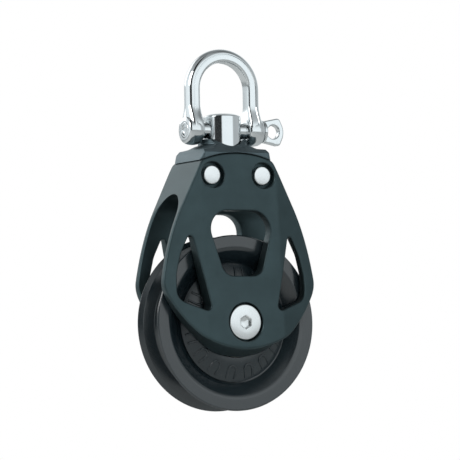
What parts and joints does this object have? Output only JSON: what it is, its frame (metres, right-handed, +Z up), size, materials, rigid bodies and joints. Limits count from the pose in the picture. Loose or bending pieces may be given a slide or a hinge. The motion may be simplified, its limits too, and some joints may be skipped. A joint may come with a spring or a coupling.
{
  "type": "single sheave block",
  "caption": "Single sheave block: a forged frame with open windows around a grooved ball-guided sheave, under a swivelling D shackle with a captive finger pin",
  "frame": {"origin": "The point under the crown of the shackle bow where the block hangs, on the block's middle plane.", "axes": "+Z is up, from the sheave towards the shackle. +X is across the cheeks, from the plain end of the shackle pin to its finger tab. +Y runs along the sheave's axle, from the front cheek to the back cheek."},
  "size_m": [0.045, 0.0232, 0.0934],
  "materials": {
    "forged_frame": "forged and hard anodised, satin charcoal",
    "head_piece": "forged and anodised, satin grey",
    "steel": "polished stainless steel",
    "sheave": "moulded black acetal",
    "sleeve": "wound fibre composite bearing sleeve",
    "acetal": "white acetal"
  },
  "bodies": {
    "shackle": {"shackle_bow": "steel", "shackle_pin": "steel"},
    "swivel": {"swivel_post": "steel", "swivel_nut_washer": "steel", "swivel_nut": "steel"},
    "frame": {"forged_frame": "forged_frame", "head_piece": "head_piece", "cross_pin_left": "steel", "cross_pin_right": "steel", "axle_bolt": "steel", "axle_screw": "steel", "bearing_sleeve": "sleeve", "side_race_front": "steel", "side_race_back": "steel", "swivel_bearing_washer": "acetal"},
    "sheave_wheel": {"sheave": "sheave", "hub_cover_front": "sheave", "hub_cover_back": "sheave"},
    "front_ball_ring": {"ball_cage_front": "acetal", "side_ball_front_01": "acetal", "side_ball_front_02": "acetal", "side_ball_front_03": "acetal", "side_ball_front_04": "acetal", "side_ball_front_05": "acetal", "side_ball_front_06": "acetal", "side_ball_front_07": "acetal", "side_ball_front_08": "acetal", "side_ball_front_09": "acetal", "side_ball_front_10": "acetal", "side_ball_front_11": "acetal", "side_ball_front_12": "acetal"},
    "back_ball_ring": {"ball_cage_back": "acetal", "side_ball_back_01": "acetal", "side_ball_back_02": "acetal", "side_ball_back_03": "acetal", "side_ball_back_04": "acetal", "side_ball_back_05": "acetal", "side_ball_back_06": "acetal", "side_ball_back_07": "acetal", "side_ball_back_08": "acetal", "side_ball_back_09": "acetal", "side_ball_back_10": "acetal", "side_ball_back_11": "acetal", "side_ball_back_12": "acetal"}
  },
  "joints": [
    {"name": "shackle_swing", "type": "hinge", "parent": "shackle", "child": "swivel", "pos_m": [0, 0, -0.01755], "axis": [1, 0, 0], "range_deg": [-105, 105]},
    {"name": "post_swivel", "type": "hinge", "parent": "swivel", "child": "frame", "pos_m": [0, 0, -0.02205], "axis": [0, 0, 1], "continuous": true},
    {"name": "sheave_spin", "type": "hinge", "parent": "frame", "child": "sheave_wheel", "pos_m": [0, 0, -0.06705], "axis": [0, 1, 0], "continuous": true},
    {"name": "front_ring_orbit", "type": "hinge", "parent": "frame", "child": "front_ball_ring", "pos_m": [0, 0, -0.06705], "axis": [0, 1, 0], "continuous": true},
    {"name": "back_ring_orbit", "type": "hinge", "parent": "frame", "child": "back_ball_ring", "pos_m": [0, 0, -0.06705], "axis": [0, 1, 0], "continuous": true}
  ],
  "couplings": [
    {"joint": "front_ring_orbit", "follows": "sheave_spin", "ratio": 0.5},
    {"joint": "back_ring_orbit", "follows": "sheave_spin", "ratio": 0.5}
  ]
}
